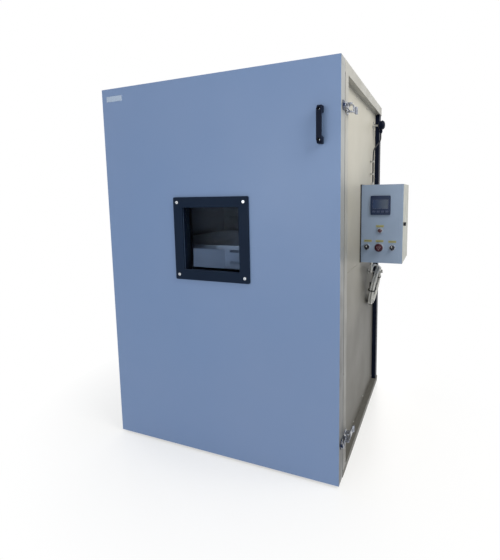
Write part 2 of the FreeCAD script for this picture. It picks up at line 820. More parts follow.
def motor():
    body = new_body("motor")
    flange = sketch_on(body, "XZ_Plane", minus(MOTOR_FACE) + " - motor_flange")
    ring(flange, "motor_radius + 6", "0", "fan_height")
    extrude(body, "Pad", flange, "motor_flange")
    case = sketch_on(body, "XZ_Plane", minus(MOTOR_FACE) + " - motor_length")
    ring(case, "motor_radius - fin_depth", "0", "fan_height")
    extrude(body, "Pad", case, "motor_length")
    fin = sketch_on(body, "XZ_Plane", minus(MOTOR_FACE) + " - motor_length * 0.75")
    outline(fin, (("0 - fin_width / 2", "fan_height + motor_radius - 2 * fin_depth"),
                  ("fin_width / 2", "fan_height + motor_radius - 2 * fin_depth"),
                  ("fin_width / 2", "fan_height + motor_radius"), ("0 - fin_width / 2", "fan_height + motor_radius")))
    fin_pad = extrude(body, "Pad", fin, "motor_length * 0.75 - motor_flange / 2")
    cowl = sketch_on(body, "XZ_Plane", minus(MOTOR_FACE) + " - motor_length - fin_depth")
    ring(cowl, "motor_radius", "0", "fan_height")
    extrude(body, "Pad", cowl, "motor_length / 4")
    terminal = sketch_on(body, "XZ_Plane", minus(MOTOR_FACE) + " - motor_length * 0.6")
    outline(terminal, (("0 - motor_radius / 2", "fan_height + motor_radius / 2"),
                       ("motor_radius / 2", "fan_height + motor_radius / 2"),
                       ("motor_radius / 2", "fan_height + motor_radius + 4 * fin_depth"),
                       ("0 - motor_radius / 2", "fan_height + motor_radius + 4 * fin_depth")))
    extrude(body, "Pad", terminal, "motor_length * 0.4")
    doc.recompute()
    around = around_fan(body, [fin_pad])
    bind(around, "Occurrences", "fin_count")
    bore = sketch_on(body, "XZ_Plane", minus(MOTOR_FACE) + " - motor_length / 2 - 1")
    ring(bore, "shaft_radius + running_fit", "0", "fan_height")
    extrude(body, "Pocket", bore, "motor_length", True)
    return body


def exhaust_pipe():
    low = CEILING
    top = "(cabinet_height + exhaust_rise)"
    outer = rod("exhaust_radius", top + " - spigot_length - " + low, ("0", "exhaust_back", low))
    spigot = rod("exhaust_radius - spigot_step", "2 * spigot_length",
                 ("0", "exhaust_back", top + " - 2 * spigot_length"))
    flange = rod("exhaust_flange", "exhaust_wall", ("0", "exhaust_back", "cabinet_height"))
    bore = rod("exhaust_radius - exhaust_wall", "cabinet_height", ("0", "exhaust_back", "chamber_height"))
    spindle = rod("spindle_radius + running_fit", "4 * exhaust_radius",
                  ("0 - 2 * exhaust_radius", "exhaust_back", "cabinet_height + damper_rise"), "X")
    node(carve(join([outer, spigot, flange]), [bore, spindle]), "exhaust_pipe")


def damper_flap():
    level = "(cabinet_height + damper_rise)"
    disc = rod("exhaust_radius - exhaust_wall - damper_gap", "damper_sheet",
               ("0", "exhaust_back", level + " - damper_sheet / 2"))
    reach = "exhaust_radius + damper_offset"
    spindle = rod("spindle_radius", "2 * exhaust_radius + damper_offset + damper_stub",
                  (minus("exhaust_radius + damper_stub"), "exhaust_back", level), "X")
    arm = block((reach + " - damper_arm", "exhaust_back - spindle_radius * 1.5", level + " - spindle_radius"),
                (reach, "exhaust_back + damper_lever", level + " + spindle_radius"))
    knob = rod("spindle_radius * 1.5", "damper_grip", (reach + " - damper_stub", "exhaust_back + damper_lever", level), "X")
    node(join([disc, spindle, arm, knob]), "damper_flap")


HINGE_X = "(0 - cabinet_width / 2 - hinge_out)"
HINGE_Y = "(0 - cabinet_depth / 2 - door_gap / 2)"


def hinge_levels():
    return ["(hinge_first + %d * hinge_pitch)" % index for index in range(3)]


def hinge_frame_halves():
    halves = []
    side = minus(HALF_W)
    for level in hinge_levels():
        bottom = level + " - hinge_length / 2"
        leaf = block((side + " - hinge_leaf", FRONT + " + door_gap / 2", bottom),
                     (side, FRONT + " + door_gap / 2 + hinge_width", level + " + hinge_length / 2"))
        web = block((HINGE_X, HINGE_Y + " + hinge_leaf / 2", bottom),
                    (side, HINGE_Y + " + knuckle_radius", level + " - seat_gap / 2"))
        knuckle = rod("knuckle_radius", "(hinge_length - seat_gap) / 2", (HINGE_X, HINGE_Y, bottom))
        pin = rod("hinge_pin", "hinge_length - leaf_step", (HINGE_X, HINGE_Y, bottom))
        halves.append(join([leaf, web, knuckle, pin]))
    node(bundle(halves), "hinge_frame_halves")


def hinge_door_halves():
    halves = []
    side = minus(HALF_W)
    for level in hinge_levels():
        top = level + " + hinge_length / 2"
        leaf = block((side + " - hinge_leaf", DOOR_BACK + " - hinge_width - leaf_step", level + " - hinge_length / 2"),
                     (side, DOOR_BACK + " - leaf_step", top))
        web = block((HINGE_X, HINGE_Y + " - knuckle_radius", level + " + seat_gap / 2"),
                    (side, HINGE_Y + " - hinge_leaf / 2", top))
        knuckle = rod("knuckle_radius", "(hinge_length - seat_gap) / 2",
                      (HINGE_X, HINGE_Y, level + " + seat_gap / 2"))
        bore = rod("hinge_pin + running_fit", "hinge_length", (HINGE_X, HINGE_Y, level))
        halves.append(carve(join([leaf, web, knuckle]), [bore]))
    node(bundle(halves), "hinge_door_halves")


PIVOT_X = "(cabinet_width / 2 + latch_rise)"
PIVOT_Y = "(0 - cabinet_depth / 2 + latch_setback)"
BAIL_X = "(cabinet_width / 2 + latch_rise - bail_inward)"
BAIL_Y = "(0 - cabinet_depth / 2 + latch_setback + bail_setback)"
BAR_X = "(cabinet_width / 2 + catch_rise + seat_gap + bail_wire)"
BAR_Y = "(0 - cabinet_depth / 2 + latch_setback + bail_setback - bail_length)"


def latch_bases():
    bases = []
    for level in ("latch_low", "latch_high"):
        plate = block((HALF_W, FRONT + " + latch_step", level + " - latch_base_height / 2"),
                      ("cabinet_width / 2 + latch_sheet", FRONT + " + latch_step + latch_base_depth",
                       level + " + latch_base_height / 2"))
        parts = [round_edges(plate, "latch_corner", along("X"))]
        for side, inner, outer in ((1, "ear_inner", "ear_inner + latch_sheet"),
                                   (-1, "0 - ear_inner - latch_sheet", "0 - ear_inner")):
            low = "%s + %s" % (level, inner)
            parts.append(rod("ear_radius", "latch_sheet", (PIVOT_X, PIVOT_Y, low)))
            parts.append(block((HALF_W, PIVOT_Y + " - ear_radius", low),
                               (PIVOT_X, PIVOT_Y + " + ear_radius", "%s + %s" % (level, outer))))
            pin_low = level + (" + lever_outer - latch_sheet" if side > 0 else " - ear_inner - latch_sheet")
            parts.append(rod("lever_pin", "ear_inner - lever_outer + 2 * latch_sheet", (PIVOT_X, PIVOT_Y, pin_low)))
        bases.append(join(parts))
    node(bundle(bases), "latch_bases")


def latch_lever(label, level):
    body = new_body(label)
    arms = []
    for low in (" + lever_outer - latch_sheet", " - lever_outer"):
        arm = sketch_on(body, "XY_Plane", level + low)
        corners = (("0 - arm_half", "0 - arm_half"), ("arm_half", "0 - arm_half"),
                   ("arm_edge", "bail_setback + arm_shoulder"), ("arm_edge", "bail_setback + arm_end"),
                   ("arm_notch", "bail_setback + arm_end"), ("0.5 - bail_inward - arm_nose", "bail_setback + arm_nose_end"),
                   ("0 - bail_inward - arm_nose", "bail_setback - arm_half"))
        outline(arm, [("%s + %s" % (PIVOT_X, across), "%s + %s" % (PIVOT_Y, back)) for across, back in corners])
        ring(arm, "lever_pin + running_fit", PIVOT_X, PIVOT_Y)
        ring(arm, "bail_wire + running_fit", BAIL_X, BAIL_Y)
        arms.append(extrude(body, "Pad", arm, "latch_sheet"))
    handle = sketch_on(body, "XY_Plane", level + " - lever_outer")
    face = "arm_edge - lever_thick"
    start = "bail_setback + arm_nose_end"
    profile = (("arm_edge", start), ("arm_edge", "lever_reach"), ("arm_edge + lever_flare", "lever_reach + lever_lip"),
               (face + " + lever_flare + 0.5", "lever_reach + lever_lip + 1"), (face, "lever_reach + 1"), (face, start))
    outline(handle, [("%s + %s" % (PIVOT_X, across), "%s + %s" % (PIVOT_Y, back)) for across, back in profile])
    extrude(body, "Pad", handle, "2 * lever_outer")
    node(body, label)


def latch_bail(label, level):
    lean = "atan((%s - %s) / bail_length)" % (BAR_X, BAIL_X)
    reach = "(sqrt(bail_length * bail_length + (%s - %s) * (%s - %s)) - bail_bend)" % (BAR_X, BAIL_X, BAR_X, BAIL_X)
    parts = []
    for side in (-1, 1):
        wire = doc.addObject("Part::Cylinder", "wire")
        bind(wire, "Radius", "bail_wire")
        bind(wire, "Height", reach)
        wire.Placement = Placement(Vector(), Rotation(Vector(1, 0, 0), 90))
        parts.append(wire)
        place(wire, "0", "0", "%d * bail_half" % side)
        bend = doc.addObject("Part::Torus", "bend")
        bend.Placement = Placement(Vector(), Rotation(Vector(0, 0, side), Vector(0, -1, 0), Vector(side, 0, 0), "XYZ"))
        bind(bend, "Radius1", "bail_bend")
        bind(bend, "Radius2", "bail_wire")
        bend.Angle3 = 90
        parts.append(bend)
        place(bend, "0", "0 - " + reach, "%d * (bail_half - bail_bend)" % side)
        elbow = doc.addObject("Part::Sphere", "elbow")
        bind(elbow, "Radius", "bail_wire")
        place(elbow, "0", "0", "%d * bail_half" % side)
        parts.append(elbow)
        low = "bail_half" if side > 0 else "0 - lever_outer"
        parts.append(rod("bail_wire", "lever_outer - bail_half", ("0", "0", low)))
    half_bar = "(bail_half - bail_bend)"
    parts.append(rod("bail_wire", "2 * " + half_bar, ("0", "0 - %s - bail_bend" % reach, "0 - " + half_bar)))
    loop = join(parts)
    bind(loop, "Placement.Rotation.Angle", lean)
    loop.Placement.Rotation.Axis = Vector(0, 0, 1)
    place(loop, BAIL_X, BAIL_Y, level)
    node(loop, label)


def latch_catches():
    catches = []
    for level in ("latch_low", "latch_high"):
        plate = block((HALF_W, DOOR_BACK + " - catch_inset - catch_depth", level + " - catch_height / 2"),
                      ("cabinet_width / 2 + latch_sheet", DOOR_BACK + " - catch_inset", level + " + catch_height / 2"))
        lip = block((HALF_W, BAR_Y + " + bail_wire + catch_gap", level + " - (bail_half - bail_wire - catch_play)"),
                    ("cabinet_width / 2 + catch_rise", BAR_Y + " + bail_wire + catch_gap + catch_lip",
                     level + " + (bail_half - bail_wire - catch_play)"))
        catches.append(join([round_edges(plate, "latch_corner", along("X")), round_edges(lip, "lip_corner", outer_edge)]))
    node(bundle(catches), "latch_catches")


def outer_edge(edge):
    return all(vertex.Point.x > size("cabinet_width") / 2 + size("catch_rise") / 2 for vertex in edge.Vertexes)


def cable_duct():
    outer = block((WALL, HALF_D + " - duct_depth", "base_height"), (WALL + " + duct_width", HALF_D, ROOF_LOW))
    hollow = block((WALL + " + duct_wall", HALF_D + " - duct_depth + duct_wall", "base_height - 1"),
                   (WALL + " + duct_width + 1", HALF_D + " - duct_wall", ROOF_LOW + " + 1"))
    cover = block((WALL + " + duct_width", HALF_D + " - duct_depth", "base_height"),
                  (WALL + " + duct_width + duct_wall", HALF_D, ROOF_LOW))
    node(bundle([carve(outer, [hollow]), cover]), "cable_duct")


DOOR_TOP = "cabinet_height"
EDGE_FRONT = "(0 - cabinet_depth / 2 - door_gap - door_thickness + door_sheet)"
EDGE_BACK = "(0 - cabinet_depth / 2 - door_gap - door_sheet)"


def window_hole(front, back, grow="0"):
    half = "(window_opening / 2 + %s)" % grow
    return block((minus(half), front, "window_height - " + half), (half, back, "window_height + " + half))


def door_front_skin():
    skin = block((minus(HALF_W), DOOR_FRONT, "door_bottom"), (HALF_W, EDGE_FRONT, DOOR_TOP))
    node(carve(skin, [window_hole(DOOR_FRONT + " - 1", EDGE_FRONT + " + 1")]), "door_front_skin")


def door_inner_skin():
    skin = block((minus(HALF_W), EDGE_BACK, "door_bottom"), (HALF_W, DOOR_BACK, DOOR_TOP))
    node(carve(skin, [window_hole(EDGE_BACK + " - 1", DOOR_BACK + " + 1")]), "door_inner_skin")


def door_edge_frame():
    rails = []
    across = "(cabinet_width / 2 - edge_flange)"
    spans = [
        (minus(HALF_W), HALF_W, "door_bottom", "door_bottom + edge_flange", "floor"),
        (minus(HALF_W), HALF_W, "cabinet_height - edge_flange", "cabinet_height", "roof"),
        (minus(HALF_W), minus(across), "door_bottom + edge_flange", "cabinet_height - edge_flange", "left"),
        (across, HALF_W, "door_bottom + edge_flange", "cabinet_height - edge_flange", "right"),
    ]
    for low_x, high_x, low_z, high_z, edge in spans:
        rail = block((low_x, EDGE_FRONT, low_z), (high_x, EDGE_BACK, high_z))
        trim = {
            "floor": ((low_x + " - 1", high_x + " + 1"), (low_z + " + door_sheet", high_z + " + 1")),
            "roof": ((low_x + " - 1", high_x + " + 1"), (low_z + " - 1", high_z + " - door_sheet")),
            "left": ((low_x + " + door_sheet", high_x + " + 1"), (low_z + " - 1", high_z + " + 1")),
            "right": ((low_x + " - 1", high_x + " - door_sheet"), (low_z + " - 1", high_z + " + 1")),
        }[edge]
        hollow = block((trim[0][0], EDGE_FRONT + " + door_sheet", trim[1][0]),
                       (trim[0][1], EDGE_BACK + " - door_sheet", trim[1][1]))
        rails.append(carve(rail, [hollow]))
    node(bundle(rails), "door_edge_frame")


def door_insulation():
    across = "(cabinet_width / 2 - edge_flange)"
    slab = block((minus(across), EDGE_FRONT, "door_bottom + edge_flange"),
                 (across, EDGE_BACK, "cabinet_height - edge_flange"))
    hole = window_hole(EDGE_FRONT + " - 1", EDGE_BACK + " + 1", "pane_lap")
    node(carve(slab, [hole]), "door_insulation")


def window_bezels():
    pieces = []
    for front, back in ((DOOR_FRONT + " - bezel_depth", DOOR_FRONT), (DOOR_BACK, DOOR_BACK + " + inner_bezel_depth")):
        plate = window_hole(front, back, "bezel_border")
        plate = round_edges(plate, "window_corner", along("Y"))
        pieces.append(carve(plate, [window_hole(front + " - 1", back + " + 1")]))
    node(bundle(pieces), "window_bezels")


def window_panes():
    outer = window_hole(EDGE_FRONT, EDGE_FRONT + " + pane_thickness", "pane_lap - tunnel_sheet")
    inner = window_hole(EDGE_BACK + " - pane_thickness", EDGE_BACK, "pane_lap - tunnel_sheet")
    node(bundle([outer, inner]), "window_panes")


def window_tunnel():
    front = EDGE_FRONT
    back = EDGE_BACK
    shell = window_hole(front, back, "pane_lap")
    hollow = window_hole(front + " - 1", back + " + 1", "pane_lap - tunnel_sheet")
    node(carve(shell, [hollow]), "window_tunnel")


def door_gasket():
    half = "(chamber_width / 2 + gasket_inset + %s)"
    low = "chamber_floor - gasket_inset - %s"
    high = "chamber_floor + chamber_height + gasket_inset + %s"
    back = FRONT + " - seat_gap"
    outer = block((minus(half % "gasket_width"), DOOR_BACK, low % "gasket_width"),
                  (half % "gasket_width", back, high % "gasket_width"))
    inner = block((minus(half % "0"), DOOR_BACK + " - 1", low % "0"), (half % "0", back + " + 1", high % "0"))
    node(carve(round_edges(outer, "gasket_corner", along("Y")), [round_edges(inner, "gasket_turn", along("Y"))]), "door_gasket")


def door_handle():
    body = new_body("door_handle")
    side = sketch_on(body, "YZ_Plane", "handle_side")
    tip = DOOR_FRONT + " - handle_reach"
    low = "handle_height - handle_length / 2"
    high = "handle_height + handle_length / 2"
    grip = tip + " + handle_grip"
    outline(side, ((DOOR_FRONT, low), (DOOR_FRONT, low + " + handle_foot"), (grip, low + " + handle_foot + handle_slope"),
                   (grip, high + " - handle_foot - handle_slope"), (DOOR_FRONT, high + " - handle_foot"), (DOOR_FRONT, high),
                   (tip + " + handle_foot / 2", high), (tip, high + " - handle_foot / 2"),
                   (tip, low + " + handle_foot / 2"), (tip + " + handle_foot / 2", low)))
    bar = extrude(body, "Pad", side, "handle_width", False, True)
    doc.recompute()
    dress = body.newObject("PartDesign::Fillet", "softened")
    dress.Base = (bar, ["Edge%d" % index for index, edge in enumerate(bar.Shape.Edges, start=1) if outer_rim(edge)])
    bind(dress, "Radius", "handle_corner")
    doc.recompute()
    sinks = sketch_on(body, "XZ_Plane", minus(tip))
    holes = sketch_on(body, "XZ_Plane", minus(tip))
    for height in (low + " + handle_foot / 2 + screw_offset", high + " - handle_foot / 2 - screw_offset"):
        ring(sinks, "handle_screw * 2", "handle_side", height)
        ring(holes, "handle_screw", "handle_side", height)
    extrude(body, "Pocket", sinks, "handle_reach - handle_grip")
    doc.recompute()
    extrude(body, "Pocket", holes, "2 * handle_reach")
    node(body, "door_handle")


def outer_rim(edge):
    base = 0 - size("cabinet_depth") / 2 - size("door_gap") - size("door_thickness")
    ends = [vertex.Point for vertex in edge.Vertexes]
    across = abs(edge.tangentAt(edge.FirstParameter).x) > 0.5
    seated = all(abs(end.y - base) < 0.01 for end in ends)
    return not across and not seated


BARREL_X = "(cabinet_width / 2 - side_inset + box_width - box_door_depth - seat_gap / 2)"
BARREL_Y = "(box_front + box_length + box_barrel_out)"
PANEL = "box_front"


def box_shell():
    outer = block((WALL, PANEL, "box_bottom"), (BOX_MOUTH, BOX_BACK, BOX_TOP))
    hollow = block((WALL + " + box_sheet", PANEL + " + box_sheet", "box_bottom + box_sheet"),
                   (BOX_MOUTH + " - box_sheet", BOX_BACK + " - box_sheet", BOX_TOP + " - box_sheet"))
    mouth = block((BOX_MOUTH + " - 2 * box_sheet", PANEL + " + box_lip", "box_bottom + box_lip"),
                  (BOX_MOUTH + " + 1", BOX_BACK + " - box_lip", BOX_TOP + " - box_lip"))
    holes = [hollow, mouth]
    half = "(meter_case / 2 + seat_gap)"
    across = WALL + " + meter_across"
    up = "box_bottom + meter_up"
    holes.append(block((across + " - " + half, PANEL + " - 1", up + " - " + half),
                       (across + " + " + half, PANEL + " + 3 * box_sheet", up + " + " + half)))
    for spot, height in switch_spots():
        holes.append(rod("cutout_radius + seat_gap", "4 * box_sheet", (spot, PANEL + " - box_sheet", height), "Y"))
    holes.append(rod("gland_radius - 2", "4 * box_sheet",
                     (WALL + " + power_across", "box_front + power_back", "box_bottom - box_sheet")))
    holes.append(rod("gland_radius - 2.8", "4 * box_sheet", (CABLE_X, CABLE_Y, BOX_TOP + " - 2 * box_sheet")))
    shell = carve(outer, holes)
    barrels = []
    for height in ("box_hinge_low", "box_hinge_high"):
        bottom = "box_bottom + %s - box_barrel_length" % height
        leaf = block((BARREL_X + " - box_hinge_width", BOX_BACK, bottom),
                     (BARREL_X + " - seat_gap", BOX_BACK + " + box_hinge_leaf",
                      "box_bottom + %s - seat_gap / 2" % height))
        barrel = rod("box_barrel", "box_barrel_length - seat_gap / 2", (BARREL_X, BARREL_Y, bottom))
        pin = rod("box_pin", "2 * box_barrel_length - 1", (BARREL_X, BARREL_Y, bottom))
        barrels.append(join([leaf, barrel, pin]))
    node(bundle([shell] + barrels), "box_shell")


CABLE_X = "(cabinet_width / 2 - side_inset + 16)"
CABLE_Y = "(box_front + box_length - 18)"


def switch_spots():
    return [
        (WALL + " + switch_left", "box_bottom + switch_up"),
        (WALL + " + switch_middle", "box_bottom + switch_up"),
        (WALL + " + switch_right", "box_bottom + switch_up"),
        (WALL + " + lamp_across", "box_bottom + lamp_up"),
    ]


def box_door():
    face = BOX_MOUTH + " + seat_gap"
    outer = block((face, PANEL, "box_bottom"), (BOX_OUT, BOX_BACK, BOX_TOP))
    hollow = block((face + " - 1", PANEL + " + box_sheet", "box_bottom + box_sheet"),
                   (BOX_OUT + " - box_sheet", BOX_BACK + " - box_sheet", BOX_TOP + " - box_sheet"))
    hole = rod("lock_stem + 0.1", "2 * box_door_depth", (BOX_MOUTH, PANEL + " + lock_setback", LOCK_Z), "X")
    pan = carve(round_edges(outer, "box_corner", outer_door_edge), [hollow, hole])
    parts = [pan]
    for height in ("box_hinge_low", "box_hinge_high"):
        bottom = "box_bottom + %s + seat_gap / 2" % height
        leaf = block((BARREL_X + " + seat_gap / 2", BOX_BACK, bottom),
                     (BARREL_X + " + box_door_depth - 3", BOX_BACK + " + box_hinge_leaf",
                      bottom + " + box_barrel_length"))
        parts.append(leaf)
        parts.append(rod("box_barrel", "box_barrel_length", (BARREL_X, BARREL_Y, bottom)))
    bores = [rod("box_pin + running_fit", "3 * box_barrel_length",
                 (BARREL_X, BARREL_Y, "box_bottom + %s - box_barrel_length" % height))
             for height in ("box_hinge_low", "box_hinge_high")]
    node(carve(join(parts), bores), "box_door")


def outer_door_edge(edge):
    limit = size("cabinet_width") / 2 - size("side_inset") + size("box_width")
    return all(abs(vertex.Point.x - limit) < 0.01 for vertex in edge.Vertexes)


LOCK_Z = "(box_bottom + box_height / 2)"


def box_lock():
    y = PANEL + " + lock_setback"
    boss = rod("lock_radius", "lock_rise", (BOX_OUT, y, LOCK_Z), "X")
    slot = block((BOX_OUT + " + lock_rise - 3", y + " - 1.5", LOCK_Z + " - lock_radius * 0.6"),
                 (BOX_OUT + " + lock_rise + 1", y + " + 1.5", LOCK_Z + " + lock_radius * 0.6"))
    stem = rod("lock_stem", "box_door_depth + 8", (BOX_OUT + " - box_door_depth - 8", y, LOCK_Z), "X")
    cam = block((BOX_OUT + " - box_door_depth - 8", y + " - lock_stem", LOCK_Z + " - lock_stem"),
                (BOX_OUT + " - box_door_depth - 5", y + " + lock_stem", LOCK_Z + " + cam_length"))
    node(join([carve(boss, [slot]), stem, cam]), "box_lock")


def box_mounting_plate():
    low = WALL + " + box_sheet + plate_standoff"
    plate = block((low, PANEL + " + plate_margin * 3", "box_bottom + plate_margin"),
                  (low + " + plate_sheet", BOX_BACK + " - plate_margin", BOX_TOP + " - plate_margin"))
    parts = [plate]
    for y in (PANEL + " + plate_margin * 3 + 10", BOX_BACK + " - plate_margin - 10"):
        for z in ("box_bottom + plate_margin + 10", BOX_TOP + " - plate_margin - 10"):
            parts.append(rod("4", "plate_standoff", (WALL + " + box_sheet", y, z), "X"))
    node(join(parts), "box_mounting_plate")


def box_components():
    face = WALL + " + box_sheet + plate_standoff + plate_sheet"
    start = PANEL + " + rail_inset"
    devices = (("rail_low", "0", "relay"), ("rail_low", "relay_width + device_gap", "contactor"),
               ("rail_high", "0", "breaker"), ("rail_high", "breaker_width + device_gap", "breaker"),
               ("rail_high", "2 * breaker_width + 2 * device_gap", "terminal"))
    pieces = []
    for level in ("rail_low", "rail_high"):
        height = "box_bottom + " + level
        rail = block((face, start, height + " - rail_height / 2"),
                     (face + " + rail_rise", BOX_BACK + " - plate_margin - box_lip", height + " + rail_height / 2"))
        groove = block((face + " + 1", start + " - 1", height + " - rail_groove / 2"),
                       (face + " + rail_rise + 1", BOX_BACK, height + " + rail_groove / 2"))
        pieces.append(carve(rail, [groove]))
    for level, along_rail, kind in devices:
        near = start + " + device_gap + " + along_rail
        low = face + " + rail_rise"
        middle = "box_bottom + " + level
        base = block((low, near, "%s - %s_height / 2" % (middle, kind)),
                     (low + " + %s_depth * 0.7" % kind, near + " + %s_width" % kind,
                      "%s + %s_height / 2" % (middle, kind)))
        nose = block((low + " + %s_depth * 0.5" % kind, near, "%s - %s_height / 4" % (middle, kind)),
                     (low + " + %s_depth" % kind, near + " + %s_width" % kind,
                      "%s + %s_height / 4" % (middle, kind)))
        pieces.append(join([base, nose]))
    node(bundle(pieces), "box_components")


def controller_body():
    across = WALL + " + meter_across"
    up = "box_bottom + meter_up"
    bezel = block((across + " - meter_size / 2", PANEL + " - meter_bezel", up + " - meter_size / 2"),
                  (across + " + meter_size / 2", PANEL, up + " + meter_size / 2"))
    bezel = round_edges(bezel, "meter_corner", along("Y"))
    case = block((across + " - meter_case / 2", PANEL + " - 1", up + " - meter_case / 2"),
                 (across + " + meter_case / 2", PANEL + " + meter_depth", up + " + meter_case / 2"))
    pockets = [block((across + " - screen_width / 2", PANEL + " - meter_bezel - 1", up + SCREEN_LOW),
                     (across + " + screen_width / 2", PANEL + " - meter_bezel + screen_sheet", up + SCREEN_HIGH))]
    for index in range(4):
        middle = key_middle(index)
        pockets.append(block((middle + " - key_width / 2 - seat_gap", PANEL + " - meter_bezel - 1",
                              up + " - key_down - key_height / 2 - seat_gap"),
                             (middle + " + key_width / 2 + seat_gap",
                              PANEL + " - meter_bezel + key_depth + key_travel + seat_gap",
                              up + " - key_down + key_height / 2 + seat_gap")))
    node(carve(join([bezel, case]), pockets), "controller_body")


SCREEN_LOW = " + screen_up - screen_height / 2"
SCREEN_HIGH = " + screen_up + screen_height / 2"


def key_middle(index):
    return "(cabinet_width / 2 - side_inset + meter_across + (%d - 1.5) * key_pitch)" % index


def controller_screen():
    across = WALL + " + meter_across"
    up = "box_bottom + meter_up"
    node(block((across + " - screen_width / 2", PANEL + " - meter_bezel", up + SCREEN_LOW),
               (across + " + screen_width / 2", PANEL + " - meter_bezel + screen_sheet", up + SCREEN_HIGH)),
         "controller_screen")


def controller_key(index):
    up = "box_bottom + meter_up - key_down"
    middle = key_middle(index)
    key = block((middle + " - key_width / 2", PANEL + " - meter_bezel - key_travel", up + " - key_height / 2"),
                (middle + " + key_width / 2", PANEL + " - meter_bezel + key_depth", up + " + key_height / 2"))
    node(round_edges(key, "key_corner", along("Y")), "key_%d" % (index + 1))


def pilot_lamp():
    spot, height = switch_spots()[3]
    lens = rod("lamp_radius", "bezel_rise + lens_rise", (spot, PANEL + " - bezel_rise - lens_rise", height), "Y")
    dome = doc.addObject("Part::Sphere", "dome")
    bind(dome, "Radius", "lamp_radius * 1.25")
    place(dome, spot, PANEL + " - bezel_rise - lens_rise + lamp_radius * 0.75", height)
    cutter = rod("lamp_radius * 2", "lamp_radius * 3", (spot, PANEL + " - bezel_rise - lens_rise", height), "Y")
    node(join([lens, carve(dome, [cutter])]), "pilot_lamp")


def switch_bezels():
    pieces = []
    for index, (spot, height) in enumerate(switch_spots()):
        rim = rod("bezel_radius", "bezel_rise", (spot, PANEL + " - bezel_rise", height), "Y")
        neck = rod("cutout_radius", "2 * bezel_rise", (spot, PANEL + " - bezel_rise", height), "Y")
        case = block((spot + " - 0.35 * switch_block", PANEL + " + bezel_rise", height + " - 0.45 * switch_block"),
                     (spot + " + 0.35 * switch_block", PANEL + " + bezel_rise + switch_block",
                      height + " + 0.45 * switch_block"))
        nut = rod("bezel_radius", "bezel_rise - box_sheet", (spot, PANEL + " + box_sheet", height), "Y")
        if index == 3:
            bore = rod("lamp_radius + running_fit", "bezel_rise", (spot, PANEL + " - bezel_rise", height), "Y")
        else:
            bore = rod("stem_radius + running_fit", "stem_depth + stop_travel",
                       (spot, PANEL + " - bezel_rise - 1", height), "Y")
        pieces.append(carve(join([rim, neck, nut, case]), [bore]))
    node(bundle(pieces), "switch_bezels")


def selector(label, index):
    spot, height = switch_spots()[index]
    face = PANEL + " - bezel_rise - seat_gap"
    dial = rod("knob_radius", "knob_rise", (spot, face + " - knob_rise", height), "Y")
    grip = block((spot + " - knob_grip_width / 2", face + " - knob_rise - knob_grip", height + " - knob_radius"),
                 (spot + " + knob_grip_width / 2", face + " - knob_rise", height + " + knob_radius"))
    grip = round_edges(grip, "grip_corner", grip_edge)
    stem = rod("stem_radius", "stem_depth - bezel_rise", (spot, face, height), "Y")
    node(join([dial, grip, stem]), label)


def grip_edge(edge):
    front = size("box_front") - size("bezel_rise") - size("seat_gap") - size("knob_rise")
    return all(vertex.Point.y < front - 0.5 for vertex in edge.Vertexes)


def stop_button():
    spot, height = switch_spots()[1]
    face = PANEL + " - bezel_rise - stop_rise"
    stem = rod("stem_radius", "stop_rise + stem_depth - stop_travel", (spot, face, height), "Y")
    collar = rod("stop_stem", "stop_rise - stop_travel - 1", (spot, face, height), "Y")
    peg = rod("stop_peg", "peg_length", (spot, face + " - peg_length", height), "Y")
    node(join([stem, collar, peg]), "stop_stem")
    body = new_body("stop_head")
    half = sketch_on(body, "XY_Plane", height)
    base = face + " - seat_gap"
    outline(half, ((spot, base + " - stop_height"), (spot + " + stop_radius - stop_flat", base + " - stop_height"),
                   (spot + " + stop_radius - stop_shoulder", base + " - stop_height + stop_shoulder"),
                   (spot + " + stop_radius", base + " - stop_edge"), (spot + " + stop_radius", base),
                   (spot, base)))
    turned = body.newObject("PartDesign::Revolution", "turned")
    turned.Profile = half
    edge = "Edge%d" % len(half.Geometry)
    turned.ReferenceAxis = (half, [edge])
    turned.Angle = 360
    doc.recompute()
    bore = sketch_on(body, "XZ_Plane", minus(base))
    ring(bore, "stop_peg + running_fit", spot, height)
    extrude(body, "Pocket", bore, "peg_length + peg_gap", True)
    node(body, "stop_head")


HEAD_X = "(cabinet_width / 2 - side_inset + sensor_neck)"
POWER_X = "(cabinet_width / 2 - side_inset + power_across)"
POWER_Y = "(box_front + power_back)"
HANK_X = "(cabinet_width / 2 - side_inset + hank_out)"


def thermocouple_stem():
    flange = rod("sensor_flange", "3", (WALL, "sensor_back", "sensor_height"), "X")
    boss = rod("sensor_tube + 4", "10", (WALL, "sensor_back", "sensor_height"), "X")
    tube = rod("sensor_tube", "sensor_neck", (WALL, "sensor_back", "sensor_height"), "X")
    probe = rod("probe_radius", "probe_reach + " + WALL + " - " + INSIDE,
                (INSIDE + " - probe_reach", "sensor_back", "sensor_height"), "X")
    node(join([flange, boss, tube, probe]), "thermocouple_stem")


